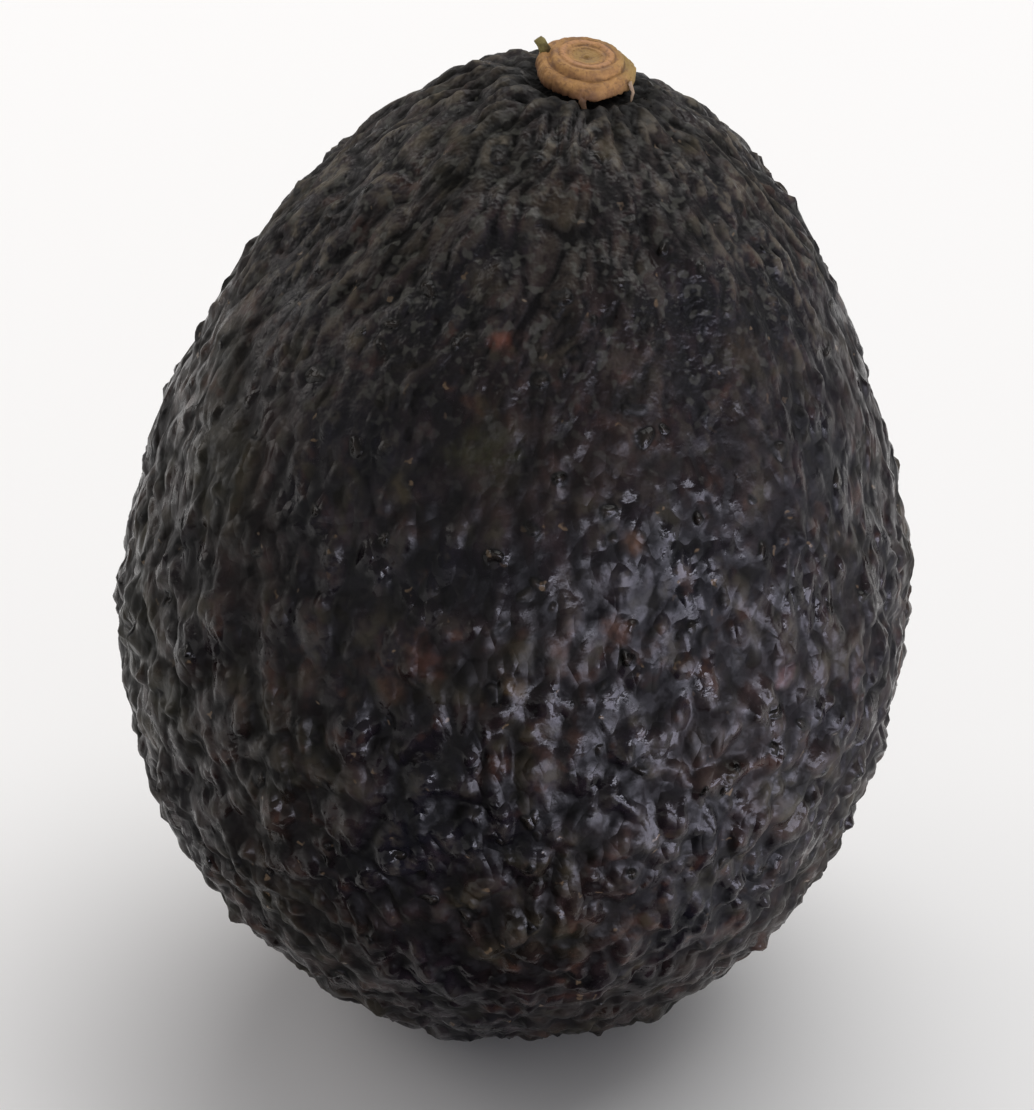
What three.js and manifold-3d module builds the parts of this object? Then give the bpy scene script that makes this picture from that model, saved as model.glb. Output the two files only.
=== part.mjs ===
// A whole dark-skinned avocado, standing on a small flat spot at its blossom end, with its stem button on top.
// Millimetres, +Z up, and the origin is the middle of the flat spot. -Y is the front.
import * as THREE from "three";
import { mergeVertices } from "three/addons/utils/BufferGeometryUtils.js";
import Module from "manifold-3d";

const wasm = await Module();
wasm.setup();

// The fruit's form
const maxDiameter = 72;
const fullHeight = 95.6; // from the rounded end's lowest point, before the flat spot is cut, to the apex
const bellyHeight = 42.3; // above that lowest point
const shoulderFullness = 1.744; // power of the superellipse from belly to apex, below 2 for a narrowing neck
const baseFullness = 2.0; // power of the superellipse from belly to blossom end
const leanOffset = 4.2; // the apex stands this far to +X of the belly
const leanPower = 1.586;
const flatDepth = 1.4; // cut off the rounded end, which leaves a flat spot of about 18 mm
const skinTriangleDetail = 22;

// The hollow round the stem button
const puckerDepth = 1.6;
const puckerRadius = 6;

// The stem button
const buttonCentre = new THREE.Vector2(6.4, 0.4);
const buttonTop = 95.15; // height of the button's upper rim
const buttonTiltForward = THREE.MathUtils.degToRad(6);
const buttonTiltRight = THREE.MathUtils.degToRad(7);
const skirtRadius = 4.25;
const tierRadius = 3.1;
const ringRadius = 2.1;
const dimpleRadius = 1.5;
const tierDepth = 0.7; // the skirt's shoulder lies this far below the upper rim
const skirtDepth = 2.1; // and the skirt's lower edge this far
const buttonDepth = 2.7; // and the underside this far
const buttonSegments = 48;
const seatGap = 0.3;

// The torn sliver on the button's rim
const sliverRoot = new THREE.Vector3(-3.2, 0.9, -1.3);
const sliverTip = new THREE.Vector3(-4.3, 1.6, 0.1);
const sliverRootRadius = 0.5;
const sliverTipRadius = 0.4;

// The skin's relief. Zones are angles down from the apex, in radians, over which a layer comes in or ends.
const meridianScale = 42; // millimetres of skin for each radian from the apex
const lumpHeight = 0.6;
const lumpSize = 17;
const swellHeight = 0.35;
const swellSize = 8.5;
const restSpotRadius = 8;
const restSpotBlend = 6; // the relief fades in over this width round the flat spot

// Folds run down from the stem, and there are fewer of them close to it.
const foldHeight = 1.4;
const foldLength = 16;
const closeFoldCount = 2.3; // the radius of a circle through the noise, so a larger one meets more folds
const farFoldCount = 4.6;
const foldMergeZone = [0.35, 0.6];
const foldStartZone = [0.1, 0.3];
const foldEndZone = [0.75, 1.25];
const waveTurn = 0.16; // folds and cobbles sway round the axis by up to this angle
const waveSize = 12;

// Cobbles cover the belly and the blossom end.
const cobbleHeight = 1.1;
const cobbleWidth = 4.8; // at the belly, and narrower up the shoulder
const cobbleLength = 7.4; // along the meridian
const endCobbleSize = 4.7;
const cobbleStartZone = [0.35, 1.0];
const endCobbleZone = [2.1, 2.45];

// The largest knobs, and one hollow, on the outline seen from the front
const knobs = [
  { polar: 0.374, turn: 2.374, height: 0.5, size: 3.5 },
  { polar: 0.68, turn: 0.256, height: 0.5, size: 4.5 },
  { polar: 0.871, turn: 2.854, height: 0.5, size: 1.9 },
  { polar: 1.794, turn: -0.218, height: 0.45, size: 2.6 },
  { polar: 1.318, turn: 3.079, height: -0.5, size: 4 },
];

// A draw from 0 to 1 that belongs to one point of a whole-number lattice.
function draw(i, j, k, seed) {
  let h = Math.imul(i, 0x1b873593) ^ Math.imul(j, 0x27d4eb2f);
  h ^= Math.imul(k, 0x165667b1) ^ Math.imul(seed, 0x9e3779b1);
  h = Math.imul(h ^ (h >>> 15), 0x2c1b3c6d);
  h = Math.imul(h ^ (h >>> 12), 0x297a2d39);
  return ((h ^ (h >>> 15)) >>> 0) / 2 ** 32;
}

// Smooth noise of about -1 to 1, with a random slope at each lattice point.
function noise(x, y, z, seed) {
  const corner = [x, y, z].map(Math.floor);
  const inside = [x - corner[0], y - corner[1], z - corner[2]];
  const ease = inside.map((t) => t * t * t * (t * (6 * t - 15) + 10));
  let sum = 0;
  for (let c = 0; c < 8; c++) {
    const step = [c & 1, (c >> 1) & 1, (c >> 2) & 1];
    const [i, j, k] = step.map((s, axis) => corner[axis] + s);
    const slope = [0, 1, 2].map((axis) => 2 * draw(i, j, k, seed + axis) - 1);
    const weight = step.reduce((w, s, axis) => w * (s ? ease[axis] : 1 - ease[axis]), 1);
    sum += weight * slope.reduce((dot, s, axis) => dot + s * (inside[axis] - step[axis]), 0);
  }
  return 1.6 * sum;
}

// How far a point is inside the cell of its nearest scattered centre, and that cell's own draw.
function cell(x, y, z, seed) {
  const [ci, cj, ck] = [x, y, z].map(Math.floor);
  let nearest = Infinity;
  let second = Infinity;
  let own = 0;
  for (let i = ci - 1; i <= ci + 1; i++)
    for (let j = cj - 1; j <= cj + 1; j++)
      for (let k = ck - 1; k <= ck + 1; k++) {
        const dx = i + draw(i, j, k, seed) - x;
        const dy = j + draw(i, j, k, seed + 1) - y;
        const dz = k + draw(i, j, k, seed + 2) - z;
        const distance = Math.hypot(dx, dy, dz);
        if (distance < nearest) {
          second = nearest;
          nearest = distance;
          own = draw(i, j, k, seed + 3);
        } else if (distance < second) second = distance;
      }
  return { depth: second - nearest, own };
}

// A rounded bump over each cell, each of its own height.
function cobble(x, y, z, seed) {
  const { depth, own } = cell(x, y, z, seed);
  return (0.35 + 0.65 * own) * THREE.MathUtils.smoothstep(depth, 0, 0.45);
}

// The smooth form: a point from its angle down from the apex and its turn about the axis.
function formPoint(polar, turn) {
  const upper = Math.cos(polar) >= 0;
  const power = 2 / (upper ? shoulderFullness : baseFullness);
  const reach = upper ? fullHeight - bellyHeight : bellyHeight;
  const radius = (maxDiameter / 2) * Math.abs(Math.sin(polar)) ** power;
  const rise = reach * Math.abs(Math.cos(polar)) ** power;
  const lean = upper ? leanOffset * (rise / reach) ** leanPower : 0;
  const point = new THREE.Vector3(lean, 0, upper ? bellyHeight + rise : bellyHeight - rise);
  point.x += radius * Math.cos(turn);
  point.y += radius * Math.sin(turn);
  if (upper) {
    const fromStem = Math.hypot(point.x - buttonCentre.x, point.y - buttonCentre.y);
    point.z -= puckerDepth * Math.exp(-((fromStem / puckerRadius) ** 2));
  }
  point.z -= flatDepth;
  return point;
}

// The skin's height over the smooth form.
function relief(point, polar, turn) {
  const { x, y, z } = point;
  const { smoothstep, lerp } = THREE.MathUtils;
  const lumps = lumpHeight * noise(x / lumpSize, y / lumpSize, z / lumpSize, 224);
  const swells = swellHeight * noise(x / swellSize, y / swellSize, z / swellSize, 502);

  const wave = turn + waveTurn * noise(x / waveSize, y / waveSize, z / waveSize, 31);
  const around = [Math.cos(wave), Math.sin(wave)];
  const along = (meridianScale * polar) / foldLength;
  const [close, far] = [[closeFoldCount, 41], [farFoldCount, 53]].map(([count, seed]) =>
    Math.abs(noise(count * around[0], count * around[1], along, seed)),
  );
  const folds = foldHeight * (lerp(close, far, smoothstep(polar, ...foldMergeZone)) - 0.3);
  const foldShare = smoothstep(polar, ...foldStartZone) * (1 - smoothstep(polar, ...foldEndZone));

  const ring = maxDiameter / 2 / cobbleWidth;
  const level = (meridianScale * polar) / cobbleLength;
  const belly = cobble(ring * around[0], ring * around[1], level, 1017);
  const end = cobble(x / endCobbleSize, y / endCobbleSize, z / endCobbleSize, 1517);
  const cobbles = cobbleHeight * (lerp(belly, end, smoothstep(polar, ...endCobbleZone)) - 0.4);
  const cobbleShare = smoothstep(polar, ...cobbleStartZone);

  let raised = 0;
  for (const knob of knobs) {
    const away = point.distanceTo(formPoint(knob.polar, knob.turn));
    raised += knob.height * Math.exp(-((away / knob.size) ** 2));
  }

  const blendStart = restSpotRadius - restSpotBlend / 3;
  const offSpot = smoothstep(Math.hypot(x, y), blendStart, blendStart + restSpotBlend);
  const onBase = polar > Math.PI / 2 ? offSpot : 1;
  return onBase * (lumps + swells + raised + foldShare * folds + cobbleShare * cobbles);
}

// Solids and booleans
function bare(geometry) {
  const shape = geometry.clone();
  shape.deleteAttribute("normal");
  shape.deleteAttribute("uv");
  return mergeVertices(shape, 1e-4);
}

function solid(geometry) {
  const merged = bare(geometry);
  const vertProperties = merged.attributes.position.array;
  const triVerts = new Uint32Array(merged.index.array);
  return new wasm.Manifold(new wasm.Mesh({ numProp: 3, vertProperties, triVerts }));
}

function geometryOf(manifold) {
  const { vertProperties, triVerts } = manifold.getMesh();
  const geometry = new THREE.BufferGeometry();
  geometry.setAttribute("position", new THREE.BufferAttribute(vertProperties, 3));
  geometry.setIndex(new THREE.BufferAttribute(triVerts, 1));
  geometry.computeVertexNormals();
  return geometry;
}

// The button's frame: its upper rim's centre, tilted with the leaning neck.
const buttonFrame = new THREE.Matrix4().makeRotationFromEuler(
  new THREE.Euler(buttonTiltForward, buttonTiltRight, 0),
);
buttonFrame.setPosition(buttonCentre.x, buttonCentre.y, buttonTop);

// A solid turned about +Z from a profile of [radius, height] points.
function turned(profile, segments) {
  const points = profile.map(([radius, height]) => new THREE.Vector2(radius, height));
  return new THREE.LatheGeometry(points, segments).rotateX(Math.PI / 2);
}

function fruitBody() {
  const sphere = bare(new THREE.IcosahedronGeometry(1, skinTriangleDetail));
  const position = sphere.attributes.position;
  const angles = [];
  for (let v = 0; v < position.count; v++) {
    const direction = new THREE.Vector3().fromBufferAttribute(position, v);
    const polar = Math.acos(THREE.MathUtils.clamp(direction.z, -1, 1));
    const turn = Math.atan2(direction.y, direction.x);
    angles.push([polar, turn]);
    const point = formPoint(polar, turn);
    position.setXYZ(v, point.x, point.y, point.z);
  }
  sphere.computeVertexNormals();
  angles.forEach(([polar, turn], v) => {
    const point = new THREE.Vector3().fromBufferAttribute(position, v);
    const normal = new THREE.Vector3().fromBufferAttribute(sphere.attributes.normal, v);
    point.addScaledVector(normal, relief(point, polar, turn));
    position.setXYZ(v, point.x, point.y, point.z);
  });
  const underFloor = new THREE.BoxGeometry(100, 100, 20).translate(0, 0, -10);
  const seatRadius = skirtRadius + 2 * seatGap;
  const seatFloor = -(buttonDepth + seatGap);
  const seat = turned([[0, seatFloor], [seatRadius, seatFloor], [seatRadius + 1, 6], [0, 6]], buttonSegments);
  return geometryOf(solid(sphere).subtract(solid(underFloor)).subtract(solid(seat.applyMatrix4(buttonFrame))));
}

// The skirt's edge is uneven: its height over the turn about the button.
function skirtLobe(turn) {
  return 0.14 * Math.sin(3 * turn + 0.6) + 0.09 * Math.sin(5 * turn + 2.1) + 0.05 * Math.sin(9 * turn);
}

function stemButton() {
  const profile = [
    [0, -buttonDepth],
    [skirtRadius - 1.3, -buttonDepth],
    [skirtRadius - 0.5, -skirtDepth - 0.2],
    [skirtRadius - 0.1, -skirtDepth],
    [skirtRadius, -skirtDepth + 0.4],
    [skirtRadius - 0.05, -tierDepth - 0.45],
    [skirtRadius - 0.4, -tierDepth - 0.1],
    [tierRadius + 0.3, -tierDepth],
    [tierRadius + 0.05, -tierDepth + 0.1],
    [tierRadius, -0.25],
    [tierRadius - 0.2, -0.05],
    [(tierRadius + ringRadius) / 2, -0.02],
    [ringRadius + 0.3, -0.12],
    [ringRadius, 0.05],
    [ringRadius - 0.35, 0.08],
    [dimpleRadius, -0.2],
    [dimpleRadius - 0.4, -0.32],
    [0.5, -0.25],
    [0.25, -0.1],
    [0, -0.08],
  ];
  const lathe = turned(profile, buttonSegments);
  const position = lathe.attributes.position;
  for (let v = 0; v < position.count; v++) {
    const x = position.getX(v);
    const y = position.getY(v);
    const radius = Math.hypot(x, y);
    const share = THREE.MathUtils.smoothstep(radius, tierRadius - 1, skirtRadius);
    const lobe = radius ? (share * skirtLobe(Math.atan2(y, x))) / radius : 0;
    position.setXYZ(v, x * (1 + lobe), y * (1 + lobe), position.getZ(v));
  }
  const along = new THREE.Vector3().subVectors(sliverTip, sliverRoot);
  const sliver = new THREE.CylinderGeometry(sliverTipRadius, sliverRootRadius, along.length(), 8, 3);
  sliver.applyQuaternion(
    new THREE.Quaternion().setFromUnitVectors(new THREE.Vector3(0, 1, 0), along.clone().normalize()),
  );
  sliver.translate(...sliverRoot.clone().add(sliverTip).multiplyScalar(0.5).toArray());
  return geometryOf(solid(lathe).add(solid(sliver)));
}

function namedMesh(name, geometry, color, roughness) {
  const mesh = new THREE.Mesh(geometry, new THREE.MeshStandardMaterial({ color, roughness, metalness: 0 }));
  mesh.name = name;
  return mesh;
}

const avocado = new THREE.Group();
avocado.add(namedMesh("fruit", fruitBody(), 0x2b2628, 0.45));
const button = namedMesh("stem_button", stemButton(), 0x9a7751, 0.8);
button.applyMatrix4(buttonFrame);
avocado.add(button);

export default avocado;
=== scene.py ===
"""A whole dark, pebbly avocado with its corky stem button, on a pale floor.

The fruit and the button are finer pieces of the same shape as the two CAD nodes. Shapes are worked
out in millimetres with the CAD's own formulas, and become metres when a mesh is made.
"""

import math

import bpy
import numpy as np
from mathutils import Euler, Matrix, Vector
from mathutils.bvhtree import BVHTree


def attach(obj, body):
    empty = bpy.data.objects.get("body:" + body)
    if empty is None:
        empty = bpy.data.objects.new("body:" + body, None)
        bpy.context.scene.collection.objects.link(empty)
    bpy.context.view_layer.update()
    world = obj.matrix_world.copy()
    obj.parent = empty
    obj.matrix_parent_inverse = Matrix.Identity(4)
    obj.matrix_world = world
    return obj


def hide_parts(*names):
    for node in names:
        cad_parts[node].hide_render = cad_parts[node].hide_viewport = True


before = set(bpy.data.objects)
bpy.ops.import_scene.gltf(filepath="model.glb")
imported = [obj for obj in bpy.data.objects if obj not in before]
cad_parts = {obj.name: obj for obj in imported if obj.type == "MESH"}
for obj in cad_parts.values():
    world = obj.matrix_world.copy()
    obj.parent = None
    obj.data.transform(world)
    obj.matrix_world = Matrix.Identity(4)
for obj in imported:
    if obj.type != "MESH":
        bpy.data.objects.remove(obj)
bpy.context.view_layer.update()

MM = 0.001

# The fruit's form, in millimetres, as in the CAD
MAX_DIAMETER = 72
FULL_HEIGHT = 95.6
BELLY_HEIGHT = 42.3
SHOULDER_FULLNESS = 1.744
BASE_FULLNESS = 2.0
LEAN_OFFSET = 4.2
LEAN_POWER = 1.586
FLAT_DEPTH = 1.4
PUCKER_DEPTH = 1.6
PUCKER_RADIUS = 6
REST_SPOT_RADIUS = 8
MERIDIAN_SCALE = 42  # millimetres of skin for each radian from the apex
SKIN_DETAIL = 98  # each of the icosahedron's 20 faces is split into this many squared

# The skin's relief, in millimetres: first the layers that the CAD has too, then the finer ones
LUMP_SIZE, LUMP_HEIGHT = 17, 0.6
SWELL_SIZE, SWELL_HEIGHT = 8.5, 0.35
FOLD_LENGTH, FOLD_HEIGHT = 16, 1.4
COBBLE_WIDTH, COBBLE_LENGTH, COBBLE_HEIGHT = 4.8, 7.4, 0.7
END_COBBLE_SIZE = 4.7
PATCH_SIZE = 9  # of the drifts between smoother and rougher skin
STRAND_LENGTH = 5
STRAND_FADE = 0.06  # radians over which one set of strands gives way to the next
PEBBLE_WIDTH, PEBBLE_LENGTH, PEBBLE_HEIGHT = 2.3, 3.1, 0.6
SMALL_PEBBLE_WIDTH, SMALL_PEBBLE_LENGTH = 1.4, 1.8
END_PEBBLE_SIZE, END_SMALL_PEBBLE_SIZE = 2.3, 1.6
WART_SIZE, WART_HEIGHT = 2.3, 0.5
BAR_WIDTH, BAR_LENGTH, BAR_HEIGHT = 2.8, 8, 0.55
RIPPLE_HEIGHT = 0.4

# The largest knobs, and one hollow, on the outline seen from the front: polar, turn, height, size
KNOBS = (
    (0.374, 2.374, 0.5, 3.5),
    (0.68, 0.256, 0.5, 4.5),
    (0.871, 2.854, 0.5, 1.9),
    (1.794, -0.218, 0.45, 2.6),
    (1.318, 3.079, -0.5, 4),
)

# The stem button, in millimetres
BUTTON_CENTRE = (6.4, 0.4, 95.15)
BUTTON_TILT = (math.radians(6), math.radians(7), 0)
SKIRT_RADIUS = 4.25
TIER_RADIUS = 3.1
RING_RADIUS = 2.1
DIMPLE_RADIUS = 1.5
TIER_DEPTH = 0.7
SKIRT_DEPTH = 2.1
BUTTON_DEPTH = 2.7
SEAT_GAP = 0.3
BUTTON_RINGS = 100
BUTTON_SEGMENTS = 240
SEAT_REACH = 12  # how far below the button's frame the skin is pressed in
STRIP_RINGS = 14
STRIP_SIDES = 12
GROOVE_RADII = (0.4, 1.62, 2.5, 3.33)

# Torn strips on the button: path, widths, thickness, tilt, and how green and how pale each is
STRIPS = (
    (((-3.2, 0.9, -1.3), (-3.7, 1.2, -0.5), (-4.3, 1.6, 0.1)), (1.1, 1.05, 0.95, 0.75), 0.55, 0, 1, 0),
    (((-0.15, -4.05, -1.6), (-0.1, -4.45, -2.3), (0.3, -5.0, -2.9)), (0.8, 0.7, 0.5, 0.25), 0.3, 0, 0, 0.3),
    (((3.85, -1.9, -1.2), (4.25, -2.2, -2.0), (4.1, -2.75, -2.75)), (0.6, 0.5, 0.4, 0.2), 0.3, 1, 0, 1),
)

# The material's bumps, in metres
PORE_DEPTH = 0.00003
WART_DEPTH = 0.0004
BARK_DEPTH = 0.0004
STONE_DEPTH = 0.0005
GRAIN_DEPTH = 0.0001
PIT_DEPTH = 0.00005
CRUST_DEPTH = 0.00012
LEAST_ROUGHNESS = 0.13

# The stage, in metres
FLOOR_SIZE = 60
FLOOR_SHADE = 0.88
FLAG_PLACE = (-0.02, -0.12, 0.0005)
FLAG_SCALE = (0.09, 0.18, 1)
FLAG_SHADE = 0.02

# The camera, as fitted to the photograph
IMAGE_SIZE = (1034, 1110)
ELEVATION = math.radians(30)
LENS = 150
SENSOR = 36  # along the image's long side
DISTANCE = 422.2
TARGET = (0.37, 0, 45.6)

# Coloured patches on the skin, one of them a painted highlight: the photograph's pixel, size in millimetres,
# colour, strength
STAINS_AND_GLINT = (
    ((500, 340), 1.1, (0.12, 0.045, 0.03), 0.8),
    ((425, 663), 2.2, (0.042, 0.016, 0.01), 0.75),
    ((392, 690), 1.6, (0.045, 0.022, 0.012), 0.7),
    # A painted highlight: a pale pink mark that stands for a glint.
    ((785, 675), 1.2, (0.085, 0.045, 0.045), 0.7),
    ((482, 452), 3.2, (0.022, 0.021, 0.009), 0.7),
    ((517, 690), 1.2, (0.06, 0.04, 0.02), 0.7),
    ((560, 205), 2.2, (0.045, 0.032, 0.02), 0.6),
    ((632, 545), 1.3, (0.1, 0.055, 0.035), 0.7),
    ((617, 630), 1.6, (0.08, 0.04, 0.028), 0.7),
    ((560, 650), 1.2, (0.06, 0.03, 0.02), 0.6),
    ((610, 150), 1.6, (0.075, 0.058, 0.035), 0.6),
    ((487, 285), 1.8, (0.035, 0.026, 0.016), 0.6),
    ((745, 350), 2.6, (0.03, 0.021, 0.013), 0.6),
    ((355, 340), 1.3, (0.06, 0.048, 0.03), 0.6),
    ((400, 490), 1.6, (0.045, 0.036, 0.02), 0.6),
    ((600, 480), 2.5, (0.026, 0.016, 0.013), 0.5),
    ((310, 680), 1.6, (0.032, 0.02, 0.013), 0.5),
    ((700, 880), 2.0, (0.025, 0.023, 0.014), 0.5),
)


# Noise and cells, on a whole-number lattice. The last number of a noise call is its seed. polar is the
# angle in radians down from the apex, so it is 0 at the stem and pi at the blossom end.
def draw(i, j, k, seed):
    """A draw from 0 to 1 that belongs to one lattice point."""
    i, j, k = (np.asarray(a).astype(np.int64).astype(np.uint32) for a in (i, j, k))
    h = i * np.uint32(0x1B873593) ^ j * np.uint32(0x27D4EB2F)
    h ^= k * np.uint32(0x165667B1) ^ np.uint32((seed * 0x9E3779B1) & 0xFFFFFFFF)
    h = (h ^ (h >> np.uint32(15))) * np.uint32(0x2C1B3C6D)
    h = (h ^ (h >> np.uint32(12))) * np.uint32(0x297A2D39)
    return (h ^ (h >> np.uint32(15))).astype(float) / 2.0**32


def noise(x, y, z, seed):
    """Smooth noise of about -1 to 1, with a random slope at each lattice point."""
    point = np.stack([x, y, z])
    corner = np.floor(point)
    inside = point - corner
    ease = inside**3 * (inside * (6 * inside - 15) + 10)
    total = np.zeros(np.shape(x))
    for c in range(8):
        step = (c & 1, (c >> 1) & 1, (c >> 2) & 1)
        lattice = [corner[axis] + step[axis] for axis in range(3)]
        weight = 1.0
        dot = 0.0
        for axis in range(3):
            weight = weight * (ease[axis] if step[axis] else 1 - ease[axis])
            dot = dot + (2 * draw(*lattice, seed + axis) - 1) * (inside[axis] - step[axis])
        total += weight * dot
    return 1.6 * total


def cells(x, y, z, seed):
    """Distance to the nearest scattered centre, how far inside its cell that is, and the cell's own draw."""
    corner = [np.floor(a) for a in (x, y, z)]
    nearest = np.full(np.shape(x), np.inf)
    second = np.full(np.shape(x), np.inf)
    own = np.zeros(np.shape(x))
    for i in (-1, 0, 1):
        for j in (-1, 0, 1):
            for k in (-1, 0, 1):
                a, b, c = corner[0] + i, corner[1] + j, corner[2] + k
                dx = a + draw(a, b, c, seed) - x
                dy = b + draw(a, b, c, seed + 1) - y
                dz = c + draw(a, b, c, seed + 2) - z
                distance = np.sqrt(dx * dx + dy * dy + dz * dz)
                closer = distance < nearest
                second = np.where(closer, nearest, np.minimum(second, distance))
                own = np.where(closer, draw(a, b, c, seed + 3), own)
                nearest = np.where(closer, distance, nearest)
    return nearest, second - nearest, own


def smoothstep(x, low, high):
    t = np.clip((x - low) / (high - low), 0, 1)
    return t * t * (3 - 2 * t)


def mix(a, b, share):
    return a + (b - a) * share


# The fruit
def geodesic(splits):
    """Unit directions and triangles of an icosahedron whose edges are split evenly."""
    golden = (1 + 5**0.5) / 2
    corners = []
    for a in (-1, 1):
        for b in (-golden, golden):
            corners += [(a, b, 0), (0, a, b), (b, 0, a)]
    corners = np.array(corners)
    gaps = np.linalg.norm(corners[:, None] - corners[None], axis=2)
    near = np.abs(gaps - 2) < 1e-6
    faces = []
    for a in range(12):
        for b in range(a + 1, 12):
            for c in range(b + 1, 12):
                if near[a, b] and near[b, c] and near[a, c]:
                    outward = np.linalg.det(corners[[a, b, c]]) > 0
                    faces.append((a, b, c) if outward else (a, c, b))
    rows = [(i, j) for i in range(splits + 1) for j in range(splits + 1 - i)]
    index = {place: k for k, place in enumerate(rows)}
    weights = np.array([(splits - i - j, i, j) for i, j in rows]) / splits
    small = []
    for i, j in rows:
        if i + j < splits:
            small.append((index[i, j], index[i + 1, j], index[i, j + 1]))
        if i + j < splits - 1:
            small.append((index[i + 1, j], index[i + 1, j + 1], index[i, j + 1]))
    points = np.concatenate([weights @ corners[list(face)] for face in faces])
    triangles = np.concatenate([np.array(small) + k * len(rows) for k in range(20)])
    _, first, inverse = np.unique(np.round(points * 1e5), axis=0, return_index=True, return_inverse=True)
    points = points[first]
    return points / np.linalg.norm(points, axis=1, keepdims=True), inverse.reshape(-1)[triangles]


def form_point(polar, turn):
    """The smooth form: points from their angles down from the apex and their turns about the axis."""
    upper = np.cos(polar) >= 0
    power = np.where(upper, 2 / SHOULDER_FULLNESS, 2 / BASE_FULLNESS)
    reach = np.where(upper, FULL_HEIGHT - BELLY_HEIGHT, BELLY_HEIGHT)
    radius = MAX_DIAMETER / 2 * np.abs(np.sin(polar)) ** power
    rise = reach * np.abs(np.cos(polar)) ** power
    x = np.where(upper, LEAN_OFFSET * (rise / reach) ** LEAN_POWER, 0) + radius * np.cos(turn)
    y = radius * np.sin(turn)
    from_button = np.hypot(x - BUTTON_CENTRE[0], y - BUTTON_CENTRE[1])
    pucker = PUCKER_DEPTH * np.exp(-((from_button / PUCKER_RADIUS) ** 2))
    z = np.where(upper, BELLY_HEIGHT + rise - pucker, BELLY_HEIGHT - rise)
    return np.stack([x, y, z - FLAT_DEPTH], -1)


def vertex_normals(points, triangles):
    a, b, c = (points[triangles[:, corner]] for corner in range(3))
    facing = np.cross(b - a, c - a)
    normals = np.zeros_like(points)
    for corner in range(3):
        np.add.at(normals, triangles[:, corner], facing)
    return normals / np.linalg.norm(normals, axis=1, keepdims=True)


def cobble(x, y, z, seed):
    _, depth, own = cells(x, y, z, seed)
    return (0.35 + 0.65 * own) * smoothstep(depth, 0, 0.45)


def main_relief(point, polar, turn):
    """The lumps, folds and cobbles that the CAD's skin has too."""
    x, y, z = point.T
    lumps = LUMP_HEIGHT * noise(*(point.T / LUMP_SIZE), 224)
    swells = SWELL_HEIGHT * noise(*(point.T / SWELL_SIZE), 502)
    wave = turn + 0.16 * noise(x / 12, y / 12, z / 12, 31)
    along = MERIDIAN_SCALE * polar / FOLD_LENGTH
    close = np.abs(noise(2.3 * np.cos(wave), 2.3 * np.sin(wave), along, 41))
    far = np.abs(noise(4.6 * np.cos(wave), 4.6 * np.sin(wave), along, 53))
    folds = FOLD_HEIGHT * (mix(close, far, smoothstep(polar, 0.35, 0.6)) - 0.3)
    fold_share = smoothstep(polar, 0.1, 0.3) * (1 - smoothstep(polar, 0.6, 1.1))
    ring = MAX_DIAMETER / 2 / COBBLE_WIDTH
    along = MERIDIAN_SCALE * polar / COBBLE_LENGTH
    belly = cobble(ring * np.cos(wave), ring * np.sin(wave), along, 1017)
    end = cobble(*(point.T / END_COBBLE_SIZE), 1517)
    cobbles = COBBLE_HEIGHT * (mix(belly, end, smoothstep(polar, 2.1, 2.45)) - 0.4)
    cobble_share = smoothstep(polar, 0.6, 1.5)
    raised = 0
    for knob_polar, knob_turn, height, size in KNOBS:
        away = np.linalg.norm(point - form_point(knob_polar, knob_turn), axis=1)
        raised = raised + height * np.exp(-((away / size) ** 2))
    return lumps + swells + raised + fold_share * folds + cobble_share * cobbles


def bumps(coordinates, seed, small, large, present=1.0, wrap=None):
    """The tallest of the round bumps around each place: one bump to a lattice cell, each of its own size.

    Bump radii run from small to large, in cells, and present is the share of cells that have a bump.
    wrap joins the first coordinate's ends after that many cells.
    """
    third = coordinates[2] if len(coordinates) == 3 else np.zeros_like(coordinates[0])
    corner = [np.floor(a) for a in (*coordinates[:2], third)]
    best = np.zeros_like(coordinates[0])
    layers = (-1, 0, 1) if len(coordinates) == 3 else (0,)
    for i in (-1, 0, 1):
        for j in (-1, 0, 1):
            for k in layers:
                a, b, c = corner[0] + i, corner[1] + j, corner[2] + k
                name = (a if wrap is None else np.mod(a, wrap), b, c)
                squared = (a + draw(*name, seed) - coordinates[0]) ** 2
                squared = squared + (b + draw(*name, seed + 1) - coordinates[1]) ** 2
                if len(coordinates) == 3:
                    squared = squared + (c + draw(*name, seed + 2) - third) ** 2
                own = draw(*name, seed + 3)
                reach = mix(small, large, own)
                rise = mix(0.45, 1, own) * np.clip(1 - squared / reach**2, 0, 1)
                best = np.maximum(best, rise * (draw(*name, seed + 4) < present))
    return best


def side_bumps(turn, polar, width, length, seed, small, large, present=1.0):
    """Bumps laid out round the fruit's sides, width by length in millimetres at the belly."""
    around = round(math.pi * MAX_DIAMETER / width)
    across = (turn / (2 * math.pi)) % 1 * around
    return bumps((across, MERIDIAN_SCALE * polar / length), seed, small, large, present, wrap=around)


def pebbles(point, polar, turn):
    """Round pebbles, about 2 to 4 mm across, and others of about 1 to 3 mm on and between them."""
    x, y, z = point.T
    wave = turn + 0.04 * noise(x / 5, y / 5, z / 5, 231)
    drift = polar + 0.03 * noise(x / 6, y / 6, z / 6, 232)
    end_share = smoothstep(polar, 2.0, 2.3)
    large = mix(
        side_bumps(wave, drift, PEBBLE_WIDTH, PEBBLE_LENGTH, seed=241, small=0.45, large=0.8),
        bumps(point.T / END_PEBBLE_SIZE, seed=251, small=0.6, large=0.95),
        end_share,
    )
    small = mix(
        side_bumps(wave, drift, SMALL_PEBBLE_WIDTH, SMALL_PEBBLE_LENGTH, seed=261, small=0.4, large=0.75),
        bumps(point.T / END_SMALL_PEBBLE_SIZE, seed=271, small=0.55, large=0.9),
        end_share,
    )
    return large, small


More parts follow.
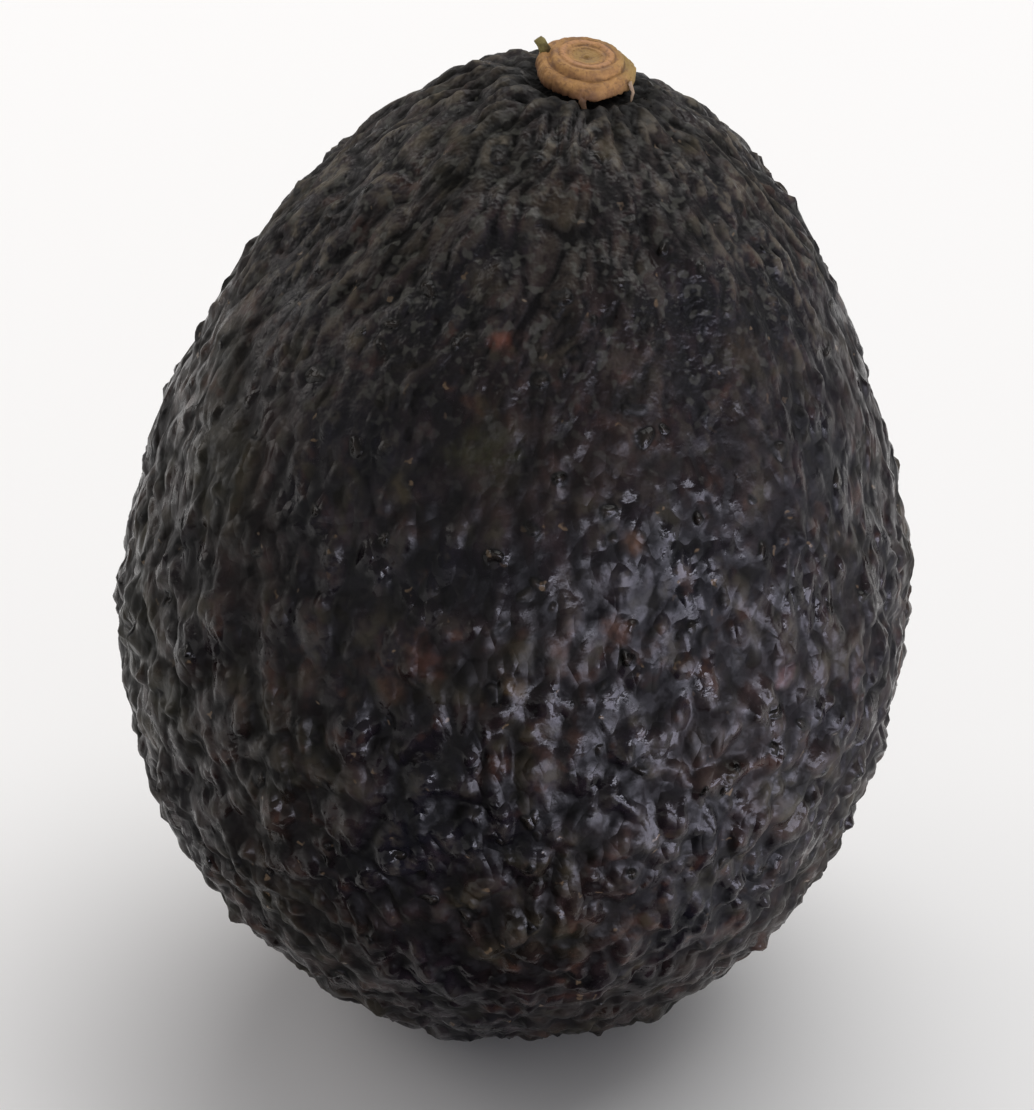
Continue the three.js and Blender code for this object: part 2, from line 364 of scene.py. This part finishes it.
def stem_folds(point, polar):
    """Thin rope-like folds, with small knots, that run down from the stem button."""
    x, y, z = point.T
    drift = smoothstep(polar, 0.2, 0.9)
    rise = np.clip((z + FLAT_DEPTH - BELLY_HEIGHT) / (FULL_HEIGHT - BELLY_HEIGHT), 0, 1)
    centre_x = mix(BUTTON_CENTRE[0], LEAN_OFFSET * rise**LEAN_POWER, drift)
    centre_y = mix(BUTTON_CENTRE[1], 0, drift)
    turn = np.arctan2(y - centre_y, x - centre_x)
    wave = turn + 0.07 * noise(x / 7, y / 7, z / 7, 131) + 0.025 * noise(x / 2.5, y / 2.5, z / 2.5, 132)
    along = MERIDIAN_SCALE * polar / STRAND_LENGTH
    total = np.zeros_like(x)
    for count, start, stop in ((3.6, 0, 0.24), (6, 0.22, 0.42), (10.5, 0.4, 0.66), (17, 0.64, 1.4)):
        strand = np.abs(noise(count * np.cos(wave), count * np.sin(wave), along, 140 + int(count)))
        begun = smoothstep(polar, start - STRAND_FADE, start + STRAND_FADE)
        share = begun * (1 - smoothstep(polar, stop - STRAND_FADE, stop + STRAND_FADE))
        total += share * (np.minimum(2 * strand, 1) ** 0.7 - 0.55)
    knots = np.abs(noise(x / 1.6, y / 1.6, z / 2.2, 151))
    return total + 0.22 * (np.minimum(2.5 * knots, 1) - 0.6)


def fine_relief(point, polar, turn):
    """The layers that the CAD's triangles are too large for, and how high each place stands among them."""
    x, y, z = point.T
    patch = noise(*(point.T / PATCH_SIZE), 311)
    stem_share = smoothstep(polar, 0.08, 0.2) * (1 - smoothstep(polar, 0.55, 1.2))
    strands = stem_folds(point, polar)
    close = 1 - smoothstep(polar, 0.2, 0.45)
    flank = np.cos(turn) ** 2
    folds = (0.24 + 0.28 * flank + 0.15 * patch + 0.6 * close) * stem_share * strands
    pebble_share = mix(0.25, 1, smoothstep(polar + 0.15 * patch, 0.9, 1.5)) * smoothstep(polar, 0.15, 0.6)
    large, small = pebbles(point, polar, turn)
    stones = large + 0.4 * small
    warts = side_bumps(turn, polar, WART_SIZE, WART_SIZE, seed=281, small=0.27, large=0.42, present=0.26)
    warts = warts * smoothstep(polar, 0.45, 0.7)
    crest = mix(np.clip(stones / 1.2, 0, 1), np.clip(0.55 + strands, 0, 1), stem_share)
    on_sides = smoothstep(polar, 1.1, 1.4) * (1 - smoothstep(polar, 2.0, 2.3))
    wave = turn + 0.05 * patch
    bars = side_bumps(wave, polar, BAR_WIDTH, BAR_LENGTH, seed=291, small=0.4, large=0.75, present=0.6)
    bars = bars * smoothstep(patch, -0.1, 0.2)
    ripples = noise(x / 4, y / 4, z / 5.5, 321) * pebble_share
    height = folds + PEBBLE_HEIGHT * pebble_share * (stones - 0.55) + WART_HEIGHT * warts
    return height + BAR_HEIGHT * on_sides * bars + RIPPLE_HEIGHT * ripples, crest


def button_frame():
    frame_matrix = Euler(BUTTON_TILT).to_matrix().to_4x4()
    frame_matrix.translation = BUTTON_CENTRE
    return frame_matrix


def mesh_object(name, points, faces):
    """A smooth-shaded piece from points in millimetres."""
    mesh = bpy.data.meshes.new(name)
    mesh.vertices.add(len(points))
    mesh.vertices.foreach_set("co", (points * MM).astype(np.float32).ravel())
    sizes = [len(face) for face in faces]
    mesh.loops.add(sum(sizes))
    corners = np.concatenate([np.asarray(face) for face in faces])
    mesh.loops.foreach_set("vertex_index", corners.astype(np.int32))
    mesh.polygons.add(len(sizes))
    starts = np.concatenate([[0], np.cumsum(sizes)[:-1]])
    mesh.polygons.foreach_set("loop_start", starts.astype(np.int32))
    mesh.update(calc_edges=True)
    mesh.shade_smooth()
    piece = bpy.data.objects.new(name, mesh)
    bpy.context.scene.collection.objects.link(piece)
    return piece


def add_attribute(piece, name, values):
    """A value for each vertex, or a colour with its share where values has four columns."""
    values = np.asarray(values, dtype=np.float32)
    if values.ndim == 1:
        piece.data.attributes.new(name, "FLOAT", "POINT").data.foreach_set("value", values)
    else:
        piece.data.attributes.new(name, "FLOAT_COLOR", "POINT").data.foreach_set("color", values.ravel())


def camera_axes():
    """The camera's place in millimetres and its right, up and backward directions."""
    back = Vector((0, -math.cos(ELEVATION), math.sin(ELEVATION)))
    right = Vector((1, 0, 0))
    return Vector(TARGET) + back * DISTANCE, right, back.cross(right), back


def under_pixel(tree, pixel):
    """The point of a surface that a pixel of the photograph shows."""
    place, right, up, back = camera_axes()
    focal = LENS / SENSOR * max(IMAGE_SIZE)
    sideways = (pixel[0] - IMAGE_SIZE[0] / 2) / focal
    upwards = (IMAGE_SIZE[1] / 2 - pixel[1]) / focal
    return tree.ray_cast(place, right * sideways + up * upwards - back)[0]


def stains_and_glint(points, triangles):
    """The colour and share of the coloured patches that the photograph shows on the skin, one a painted
    highlight.
    """
    tree = BVHTree.FromPolygons(points.tolist(), triangles.tolist())
    warp = np.stack([noise(*(points.T / 1.3), 401 + 3 * axis) for axis in range(3)], -1)
    colors = np.zeros((len(points), 4))
    for pixel, size, color, strength in STAINS_AND_GLINT:
        centre = np.array(under_pixel(tree, pixel))
        away = np.linalg.norm(points + 0.45 * size * warp - centre, axis=1)
        share = strength * (1 - smoothstep(away, 0.35 * size, 1.15 * size))
        over = share > colors[:, 3]
        colors[over, :3] = color
        colors[over, 3] = share[over]
    return colors


def make_fruit():
    directions, triangles = geodesic(SKIN_DETAIL)
    polar = np.arccos(np.clip(directions[:, 2], -1, 1))
    turn = np.arctan2(directions[:, 1], directions[:, 0])
    form = form_point(polar, turn)
    normals = vertex_normals(form, triangles)
    fine, crest = fine_relief(form, polar, turn)
    off_spot = smoothstep(np.hypot(form[:, 0], form[:, 1]), REST_SPOT_RADIUS - 2, REST_SPOT_RADIUS + 4)
    on_base = np.where(polar > math.pi / 2, off_spot, 1)
    height = on_base * (main_relief(form, polar, turn) + fine)
    points = form + normals * height[:, None]

    # The seat: the skin dips under the button's skirt.
    matrix = np.array(button_frame())
    local = (points - matrix[:3, 3]) @ matrix[:3, :3]
    radius = np.hypot(local[:, 0], local[:, 1])
    top = local[:, 2] > -SEAT_REACH
    share = np.where(top, 1 - smoothstep(radius, SKIRT_RADIUS + 0.1, SKIRT_RADIUS + 1.4), 0)
    seat = -(BUTTON_DEPTH + SEAT_GAP)
    local[:, 2] = mix(local[:, 2], np.minimum(local[:, 2], seat), share)
    points = local @ matrix[:3, :3].T + matrix[:3, 3]
    points[:, 2] = np.maximum(points[:, 2], 0)

    fruit = mesh_object("avocado_skin", points, triangles)
    add_attribute(fruit, "crest", crest)
    from_button = np.hypot(form[:, 0] - BUTTON_CENTRE[0], form[:, 1] - BUTTON_CENTRE[1])
    # hollow: painted shade on the skin round the button, darkest beside it; it also makes the skin rougher
    # there.
    add_attribute(fruit, "hollow", np.where(polar < 1, 1 - smoothstep(from_button, 5, 9), 0))
    # Share of the pale ridge tint: by the button, and on the left and right flanks, where it is a painted
    # highlight.
    near_stem = 1 - smoothstep(from_button, 8, 20)
    flank = 0.8 * np.cos(turn) ** 2 * (1 - smoothstep(polar, 0.7, 1.1))
    add_attribute(fruit, "near_stem", np.where(polar < 1.2, np.maximum(near_stem, flank), 0))
    pebbly = smoothstep(polar + 0.12 * noise(*(form.T / PATCH_SIZE), 311), 0.55, 1.25)
    add_attribute(fruit, "pebbly", pebbly)
    add_attribute(fruit, "stain_and_glint", stains_and_glint(points, triangles))
    return fruit


# The stem button
def button_profile():
    """Radius and height along the button's outline, from the middle of its top to that of its underside."""
    turning_points = np.array([
        (0, -0.1), (0.15, -0.11), (0.3, -0.3), (0.6, -0.34), (1.05, -0.3), (1.35, -0.16),
        (DIMPLE_RADIUS, -0.13),
        (1.62, -0.2), (1.75, -0.06), (RING_RADIUS, 0.06), (2.35, 0.03), (2.5, -0.12), (2.62, -0.05),
        (2.85, 0.0), (TIER_RADIUS, -0.12), (3.2, -0.4), (3.26, -TIER_DEPTH), (3.4, -0.8), (3.6, -0.72),
        (3.95, -0.85), (4.2, -1.15), (SKIRT_RADIUS, -1.5), (4.28, -1.9), (4.2, -SKIRT_DEPTH), (4.0, -2.2),
        (3.5, -2.4), (2.6, -BUTTON_DEPTH), (0, -BUTTON_DEPTH),
    ])
    steps = np.concatenate([[0], np.cumsum(np.hypot(*np.diff(turning_points, axis=0).T))])
    along = np.linspace(0, steps[-1], BUTTON_RINGS)
    return np.interp(along, steps, turning_points[:, 0]), np.interp(along, steps, turning_points[:, 1])


def turned_cork():
    """The button's turned body, as points in its own frame and faces."""
    radius, height = button_profile()
    turn = np.arange(BUTTON_SEGMENTS) * 2 * math.pi / BUTTON_SEGMENTS
    r, t = np.meshgrid(radius[1:-1], turn, indexing="ij")
    z = np.broadcast_to(height[1:-1, None], r.shape).copy()
    lobes = 0.14 * np.sin(3 * t + 0.6) + 0.09 * np.sin(5 * t + 2.1) + 0.05 * np.sin(9 * t)
    rough = noise(r * np.cos(t) / 0.9, r * np.sin(t) / 0.9, z / 0.9, 601)
    fine = noise(r * np.cos(t) / 0.3, r * np.sin(t) / 0.3, z / 0.45, 611)
    streaks = noise(14 * np.cos(t), 14 * np.sin(t), z * 0.8 + r * 0.3, 621)
    outer = smoothstep(r, TIER_RADIUS - 1, SKIRT_RADIUS)
    side = smoothstep(r, TIER_RADIUS + 0.3, SKIRT_RADIUS - 0.2) * smoothstep(-z, 0.6, 1.0)
    moved = r + outer * lobes + 0.09 * outer * rough + 0.1 * side * streaks
    ring_wobble = 0.07 * noise(np.cos(t) * 1.5, np.sin(t) * 1.5, r * 0, 631)
    growth = np.sin((moved + ring_wobble) * 2 * math.pi / 0.31)
    on_top = (z > -1) * smoothstep(r, 0.3, 0.8)
    lift = 0.02 * on_top * growth + 0.06 * rough + 0.035 * fine
    lip = np.exp(-(((z + SKIRT_DEPTH) / 0.35) ** 2)) * side
    lift -= lip * (0.3 * np.abs(noise(2.2 * np.cos(t), 2.2 * np.sin(t), t * 0, 641)) + 0.12 * streaks)
    x, y = moved * np.cos(t), moved * np.sin(t)
    body = np.stack([x, y, z + lift], -1).reshape(-1, 3)
    points = np.concatenate([[(0, 0, height[0])], body, [(0, 0, height[-1])]])
    count, rings = BUTTON_SEGMENTS, len(radius) - 2
    faces = []
    for i in range(count):
        j = (i + 1) % count
        faces.append((0, 1 + i, 1 + j))
        for ring in range(rings - 1):
            a = 1 + ring * count
            faces.append((a + i, a + count + i, a + count + j, a + j))
        last = 1 + (rings - 1) * count
        faces.append((last + i, len(points) - 1, last + j))
    return points, faces


def strip(path, widths, thickness, tilt=0):
    """A thin tapering strip along a path, as points and faces. tilt turns its flat side, in radians."""
    path = np.array(path, float)
    along = np.linspace(0, 1, STRIP_RINGS)
    knots = np.linspace(0, 1, len(path))
    centre = np.stack([np.interp(along, knots, path[:, axis]) for axis in range(3)], -1)
    for _ in range(2):
        centre[1:-1] = (centre[:-2] + 2 * centre[1:-1] + centre[2:]) / 4
    width = np.interp(along, np.linspace(0, 1, len(widths)), widths)
    heading = np.gradient(centre, axis=0)
    heading /= np.linalg.norm(heading, axis=1, keepdims=True)
    across = np.cross(heading, (math.sin(tilt), -math.cos(tilt), 0.2))
    across /= np.linalg.norm(across, axis=1, keepdims=True)
    over = np.cross(across, heading)
    turn = np.arange(STRIP_SIDES) * 2 * math.pi / STRIP_SIDES
    ring = across[:, None] * np.cos(turn)[None, :, None] * width[:, None, None] / 2
    depth = thickness * width / max(widths)
    ring = ring + over[:, None] * np.sin(turn)[None, :, None] * depth[:, None, None] / 2
    ring += centre[:, None]
    points = np.concatenate([ring.reshape(-1, 3), centre[[0, -1]]])
    points += 0.05 * noise(*(points.T / 0.5), 651)[:, None]
    faces = []
    last = (STRIP_RINGS - 1) * STRIP_SIDES
    for i in range(STRIP_SIDES):
        j = (i + 1) % STRIP_SIDES
        for a in range(0, last, STRIP_SIDES):
            faces.append((a + i, a + j, a + STRIP_SIDES + j, a + STRIP_SIDES + i))
        faces.append((len(points) - 2, j, i))
        faces.append((len(points) - 1, last + i, last + j))
    return points, faces


def make_button():
    parts = [(turned_cork(), 0, 0)]
    for path, widths, thickness, tilt, greenness, paleness in STRIPS:
        parts.append((strip(path, widths, thickness, tilt), greenness, paleness))
    points, faces, green, pale = [], [], [], []
    for (part_points, part_faces), greenness, paleness in parts:
        base = sum(len(block) for block in points)
        faces += [tuple(base + corner for corner in face) for face in part_faces]
        points.append(part_points)
        green.append(np.full(len(part_points), float(greenness)))
        pale.append(np.full(len(part_points), float(paleness)))
    local = np.concatenate(points)
    matrix = np.array(button_frame())
    button = mesh_object("avocado_stem_button", local @ matrix[:3, :3].T + matrix[:3, 3], faces)
    radius = np.hypot(local[:, 0], local[:, 1])
    ring = np.exp(-(((radius - RING_RADIUS) / 0.3) ** 2)) * (local[:, 2] > -0.5)
    # Painted shade along the grooves of the top, and in the dimple.
    groove = sum(np.exp(-(((radius - place) / 0.09) ** 2)) for place in GROOVE_RADII)
    rim = smoothstep(local[:, 0] + 0.8 * local[:, 1], 0.5, 4.2) * smoothstep(radius, 2.4, 3.4)
    add_attribute(button, "green", np.concatenate(green))
    add_attribute(button, "pale", np.concatenate(pale))
    add_attribute(button, "ring", ring)
    add_attribute(button, "groove", np.clip(groove * (local[:, 2] > -1), 0, 1))
    add_attribute(button, "olive", rim)
    # low: painted shade, growing towards the button's underside and stronger on its left side.
    left = smoothstep(-local[:, 0] - 0.5 * local[:, 1], -1, 4)
    add_attribute(button, "low", np.clip(smoothstep(-local[:, 2], 0.9, 2.3) * (0.55 + 0.6 * left), 0, 1))
    add_attribute(button, "heart", 1 - smoothstep(radius, 0.9, DIMPLE_RADIUS + 0.1))
    return button


# Materials
class Nodes:
    """A material's node tree, with one call for each node."""

    def __init__(self, name):
        self.material = bpy.data.materials.new(name)
        self.material.use_nodes = True
        self.tree = self.material.node_tree
        self.shader = self.tree.nodes["Principled BSDF"]
        self.place = self.add("ShaderNodeTexCoord").outputs["Object"]

    def add(self, kind, links=(), **settings):
        node = self.tree.nodes.new(kind)
        for name, value in settings.items():
            setattr(node, name, value)
        for socket, value in dict(links).items():
            if isinstance(value, bpy.types.NodeSocket):
                self.tree.links.new(value, node.inputs[socket])
            else:
                node.inputs[socket].default_value = value
        return node

    def attribute(self, name):
        return self.add("ShaderNodeAttribute", attribute_name=name, attribute_type="GEOMETRY")

    def noise(self, scale, detail=3, roughness=0.55):
        links = {"Vector": self.place, "Scale": scale, "Detail": detail, "Roughness": roughness}
        return self.add("ShaderNodeTexNoise", links).outputs["Fac"]

    def voronoi(self, scale, output, place):
        return self.add("ShaderNodeTexVoronoi", {"Vector": place, "Scale": scale}).outputs[output]

    def shifted(self, scale, reach):
        """The object's coordinates, pushed about by noise, so that round marks become uneven."""
        push = self.add("ShaderNodeTexNoise", {"Vector": self.place, "Scale": scale, "Detail": 0})
        push = self.vector_math("MULTIPLY", push.outputs["Color"], (reach,) * 3)
        return self.vector_math("ADD", self.place, push)

    def dots(self, scale, place, inner, outer, rarity):
        """Scattered round dots, solid to the inner radius and gone at the outer one, in shares of a cell."""
        size = self.spread(self.voronoi(scale, "Distance", place), inner, outer, 1, 0)
        color = self.voronoi(scale, "Color", place)
        drawn = self.add("ShaderNodeSeparateColor", {"Color": color}).outputs["Red"]
        return self.times(size, self.spread(drawn, rarity, rarity + 0.15))

    def math(self, operation, a, b):
        return self.add("ShaderNodeMath", {0: a, 1: b}, operation=operation).outputs[0]

    def times(self, a, b):
        return self.math("MULTIPLY", a, b)

    def vector_math(self, operation, a, b):
        return self.add("ShaderNodeVectorMath", {0: a, 1: b}, operation=operation).outputs["Vector"]

    def spread(self, value, from_low, from_high, to_low=0.0, to_high=1.0):
        links = {
            "Value": value,
            "From Min": from_low,
            "From Max": from_high,
            "To Min": to_low,
            "To Max": to_high,
        }
        return self.add("ShaderNodeMapRange", links, interpolation_type="SMOOTHSTEP").outputs["Result"]

    def blend(self, share, a, b, blend_type="MIX"):
        node = self.add("ShaderNodeMix", data_type="RGBA", blend_type=blend_type, clamp_factor=True)
        for socket, value in ((0, share), (6, a), (7, b)):
            if isinstance(value, bpy.types.NodeSocket):
                self.tree.links.new(value, node.inputs[socket])
            else:
                node.inputs[socket].default_value = value if socket == 0 else (*value, 1)
        return node.outputs[2]

    def ramp(self, value, stops):
        node = self.add("ShaderNodeValToRGB", {"Fac": value})
        elements = node.color_ramp.elements
        while len(elements) < len(stops):
            elements.new(0.5)
        for element, (position, color) in zip(elements, stops):
            element.position = position
            element.color = (*color, 1)
        return node.outputs["Color"]

    def bump(self, height, distance, normal=None):
        links = {"Height": height, "Strength": 1.0, "Distance": distance}
        if normal is not None:
            links["Normal"] = normal
        return self.add("ShaderNodeBump", links).outputs["Normal"]

    def finish(self, color, roughness, normal):
        self.tree.links.new(color, self.shader.inputs["Base Color"])
        self.tree.links.new(roughness, self.shader.inputs["Roughness"])
        self.tree.links.new(normal, self.shader.inputs["Normal"])
        return self.material


def skin_material():
    """Purple-black waxy skin with brown, olive and blue-black drifts, specks and patches.

    Painted shade darkens the creases, the skin round the button and a ring round each wart. The pale tint on
    the ridge tops is partly the skin's own tan and partly a painted highlight, and one pale pink patch is a
    painted highlight.
    """
    nodes = Nodes("avocado_skin")
    crest = nodes.attribute("crest").outputs["Fac"]
    drift = nodes.noise(60, detail=2, roughness=0.6)
    color = nodes.ramp(drift, [
        (0.32, (0.004, 0.0042, 0.0068)),
        (0.45, (0.0062, 0.005, 0.0067)),
        (0.56, (0.01, 0.0068, 0.0068)),
        (0.68, (0.009, 0.0088, 0.0056)),
    ])
    rust = nodes.spread(nodes.noise(330, detail=2, roughness=0.65), 0.54, 0.66, 0, 0.7)
    rust = nodes.times(rust, nodes.spread(nodes.noise(75, detail=1), 0.42, 0.62, 0.15, 1))
    color = nodes.blend(rust, color, (0.0165, 0.009, 0.0068))
    olive = nodes.spread(nodes.noise(240, detail=2, roughness=0.65), 0.56, 0.68, 0, 0.55)
    color = nodes.blend(olive, color, (0.0135, 0.013, 0.007))
    mottle = nodes.noise(330, detail=2, roughness=0.65)
    mottle = nodes.ramp(mottle, [(0.3, (0.45,) * 3), (0.7, (1.85, 1.75, 1.65))])
    color = nodes.blend(1.0, color, mottle, "MULTIPLY")
    # Painted shade: the colour is darker in the creases. It is lighter and browner on the crests.
    raised = nodes.spread(crest, 0.15, 0.75)
    pebbly = nodes.attribute("pebbly").outputs["Fac"]
    painted_crease_shade = nodes.blend(nodes.spread(pebbly, 0, 0.5), (0.2, 0.19, 0.2), (0.4, 0.39, 0.4))
    color = nodes.blend(1.0, color, nodes.blend(raised, painted_crease_shade, (1.35, 1.25, 1.2)), "MULTIPLY")
    # Pale ridge tops: partly the skin's own tan by the button, and partly a painted highlight on the flanks.
    near_stem = nodes.attribute("near_stem").outputs["Fac"]
    ridge_tan_and_highlight = nodes.times(nodes.spread(crest, 0.5, 1.0), nodes.spread(near_stem, 0, 1, 0.2, 1))
    ridge_tan_and_highlight = nodes.times(ridge_tan_and_highlight, nodes.spread(nodes.noise(600, detail=2, roughness=0.7), 0.4, 0.58))
    color = nodes.blend(ridge_tan_and_highlight, color, (0.09, 0.076, 0.056))
    ragged = nodes.shifted(1500, 0.0011)
    bent = nodes.shifted(500, 0.0016)
    speck = nodes.dots(620, ragged, 0.1, 0.22, 0.8)
    barky = nodes.spread(pebbly, 0, 0.9, 1, 0)
    lichen = nodes.spread(nodes.noise(850, detail=1, roughness=0.6), 0.56, 0.68, 0, 0.6)
    color = nodes.blend(nodes.times(lichen, barky), color, (0.055, 0.054, 0.046))
    wart = nodes.dots(340, bent, 0, 0.26, 0.4)
    # Painted shade: a near-black ring round each wart.
    color = nodes.blend(nodes.dots(340, bent, 0.2, 0.36, 0.4), color, (0.0022, 0.002, 0.0022))
    color = nodes.blend(nodes.times(wart, 0.5), color, (0.04, 0.032, 0.026))
    color = nodes.blend(nodes.times(speck, 0.6), color, (0.13, 0.09, 0.055))
    stain_and_glint = nodes.attribute("stain_and_glint")
    stain_and_glint_noise = nodes.spread(nodes.noise(900, detail=1, roughness=0.7), 0.3, 0.65, 0.35, 1)
    color = nodes.blend(nodes.times(stain_and_glint.outputs["Alpha"], stain_and_glint_noise), color, stain_and_glint.outputs["Color"])
    roughness = nodes.spread(nodes.noise(260, detail=1, roughness=0.6), 0.3, 0.7, 0.16, 0.3)
    roughness = nodes.math("ADD", roughness, nodes.spread(crest, 0.1, 0.5, 0.4, 0))
    roughness = nodes.math("ADD", roughness, nodes.spread(pebbly, 0, 1, 0.22, 0))
    dull = nodes.spread(nodes.noise(480, detail=2, roughness=0.6), 0.5, 0.58, 0, 0.22)
    roughness = nodes.math("ADD", roughness, dull)
    patchy = nodes.spread(nodes.noise(120, detail=1, roughness=0.6), 0.42, 0.6, -0.08, 0.1)
    roughness = nodes.math("ADD", roughness, patchy)
    # Painted shade: the skin round the button is darkened, and made rougher.
    hollow = nodes.attribute("hollow").outputs["Fac"]
    color = nodes.blend(nodes.times(hollow, 0.9), color, (0.0025, 0.0023, 0.002))
    roughness = nodes.math("ADD", roughness, nodes.times(hollow, 0.25))
    shiny = nodes.times(nodes.math("MAXIMUM", wart, speck), 0.3)
    roughness = nodes.math("SUBTRACT", roughness, shiny)
    roughness = nodes.math("MAXIMUM", roughness, LEAST_ROUGHNESS)
    pores = nodes.bump(nodes.noise(2600, detail=1, roughness=0.6), PORE_DEPTH)
    squashed = nodes.add("ShaderNodeMapping", {"Vector": nodes.place, "Scale": (1, 1, 0.62)})
    stones = nodes.voronoi(640, "Distance", squashed.outputs["Vector"])
    stones = nodes.spread(stones, 0, 0.8, 1, 0)
    stones = nodes.times(stones, nodes.spread(nodes.noise(180, detail=0), 0.35, 0.65, 0.35, 1))
    stones = nodes.times(stones, nodes.spread(pebbly, 0, 1, 0.3, 1))
    warty = nodes.bump(wart, WART_DEPTH, pores)
    bark = nodes.times(nodes.noise(750, detail=2, roughness=0.7), barky)
    warty = nodes.bump(bark, BARK_DEPTH, warty)
    stones = nodes.bump(stones, STONE_DEPTH, warty)
    grain = nodes.bump(nodes.noise(1000, detail=1, roughness=0.5), GRAIN_DEPTH, stones)
    nodes.shader.inputs["IOR"].default_value = 1.4
    nodes.shader.inputs["Specular IOR Level"].default_value = 0.32
    return nodes.finish(color, roughness, grain)


def cork_material():
    """Dry tan cork with a pinkish ring, an olive rim and a yellow-green sliver, with painted shade in its
    grooves and towards its lower, left side.
    """
    nodes = Nodes("avocado_stem_cork")
    blotch = nodes.noise(900, detail=4, roughness=0.65)
    color = nodes.ramp(blotch, [
        (0.3, (0.19, 0.086, 0.029)),
        (0.5, (0.355, 0.183, 0.061)),
        (0.7, (0.455, 0.25, 0.088)),
    ])
    ring = nodes.attribute("ring").outputs["Fac"]
    color = nodes.blend(nodes.times(ring, 0.6), color, (0.5, 0.245, 0.115))
    heart = nodes.attribute("heart").outputs["Fac"]
    color = nodes.blend(nodes.times(heart, 0.6), color, (0.27, 0.18, 0.06))
    # Painted shade: darker brown on the button's lower part, most on its left side.
    low = nodes.attribute("low").outputs["Fac"]
    color = nodes.blend(nodes.times(low, 0.75), color, (0.13, 0.055, 0.03))
    olive = nodes.attribute("olive").outputs["Fac"]
    color = nodes.blend(nodes.times(olive, 0.7), color, (0.27, 0.19, 0.05))
    # Painted shade: darker lines along the grooves of the top.
    groove = nodes.attribute("groove").outputs["Fac"]
    groove = nodes.times(groove, nodes.spread(nodes.noise(700, detail=3), 0.4, 0.6, 0.1, 0.75))
    color = nodes.blend(groove, color, (0.11, 0.05, 0.022))
    fleck = nodes.spread(nodes.noise(2600, detail=3), 0.54, 0.68)
    color = nodes.blend(nodes.times(fleck, 0.5), color, (0.13, 0.06, 0.027))
    green = nodes.attribute("green").outputs["Fac"]
    leaf = nodes.ramp(nodes.noise(1400, detail=2), [(0.35, (0.09, 0.065, 0.022)), (0.6, (0.24, 0.2, 0.065))])
    color = nodes.blend(green, color, leaf)
    pale = nodes.attribute("pale").outputs["Fac"]
    color = nodes.blend(nodes.times(pale, 0.8), color, (0.33, 0.24, 0.17))
    roughness = nodes.spread(blotch, 0.3, 0.7, 0.62, 0.85)
    pits = nodes.bump(nodes.noise(4200, detail=3, roughness=0.65), PIT_DEPTH)
    crust = nodes.bump(nodes.noise(1500, detail=4, roughness=0.65), CRUST_DEPTH, pits)
    return nodes.finish(color, roughness, crust)


def dress(piece, material, node):
    piece.data.materials.append(material)
    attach(piece, "root")
    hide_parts(node)


# The stage
def dull_plane(name, size, place, shade):
    """A level plane with a plain grey material and no shine to speak of."""
    bpy.ops.mesh.primitive_plane_add(size=size, location=place)
    plane = bpy.context.object
    plane.name = name
    material = bpy.data.materials.new(name)
    material.use_nodes = True
    shader = material.node_tree.nodes["Principled BSDF"]
    shader.inputs["Base Color"].default_value = (shade, shade, shade, 1)
    shader.inputs["Roughness"].default_value = 0.9
    plane.data.materials.append(material)
    return plane


def make_floor():
    floor = dull_plane("floor", FLOOR_SIZE, (0, 0, 0), FLOOR_SHADE)


def aim(piece, place, target):
    piece.location = place
    piece.rotation_mode = "QUATERNION"
    piece.rotation_quaternion = (Vector(target) - Vector(place)).to_track_quat("-Z", "Y")


def make_camera():
    data = bpy.data.cameras.new("camera")
    data.lens = LENS
    data.sensor_width = SENSOR
    data.clip_start = 0.01
    camera = bpy.data.objects.new("camera", data)
    bpy.context.scene.collection.objects.link(camera)
    aim(camera, camera_axes()[0] * MM, Vector(TARGET) * MM)
    bpy.context.scene.camera = camera


def make_flag():
    """A dark card on the floor that only the skin's shine sees, so that the floor doesn't whiten it."""
    flag = dull_plane("flag", 1, FLAG_PLACE, FLAG_SHADE)
    flag.scale = FLAG_SCALE
    flag.visible_camera = False
    flag.visible_diffuse = False
    flag.visible_shadow = False


def area_light(name, place, target, size, power, color):
    data = bpy.data.lights.new(name, "AREA")
    data.shape = "RECTANGLE"
    data.size, data.size_y = size
    data.energy = power
    data.color = color
    light = bpy.data.objects.new(name, data)
    light.visible_camera = False
    bpy.context.scene.collection.objects.link(light)
    aim(light, place, target)


def make_lights():
    """Soft light from behind for the floor, a weak one from the left, a low window in front on the right,
    and the bright patch that it makes on the floor.
    """
    area_light("back", (0.45, 0.7, 1.45), (0, 0, 0), (2.2, 1.8), 28, (1, 0.99, 0.98))
    area_light("left", (-0.8, 0.35, 0.5), (0, 0, 0.05), (0.8, 0.6), 2.5, (1, 0.95, 0.92))
    area_light("window", (0.27, -0.43, 0.026), (0, 0, 0.026), (0.5, 0.05), 1.3, (0.84, 0.84, 1))
    area_light("tray", (0.11, -0.12, 0.002), (0.11, -0.12, 1), (0.1, 0.16), 0.36, (0.8, 0.79, 1))
    world = bpy.data.worlds.new("studio")
    world.use_nodes = True
    background = world.node_tree.nodes["Background"]
    background.inputs["Color"].default_value = (1, 0.985, 0.985, 1)
    background.inputs["Strength"].default_value = 0.32
    bpy.context.scene.world = world


dress(make_fruit(), skin_material(), "fruit")
dress(make_button(), cork_material(), "stem_button")
make_floor()
make_flag()
make_camera()
make_lights()
bpy.context.scene.view_settings.view_transform = "Standard"
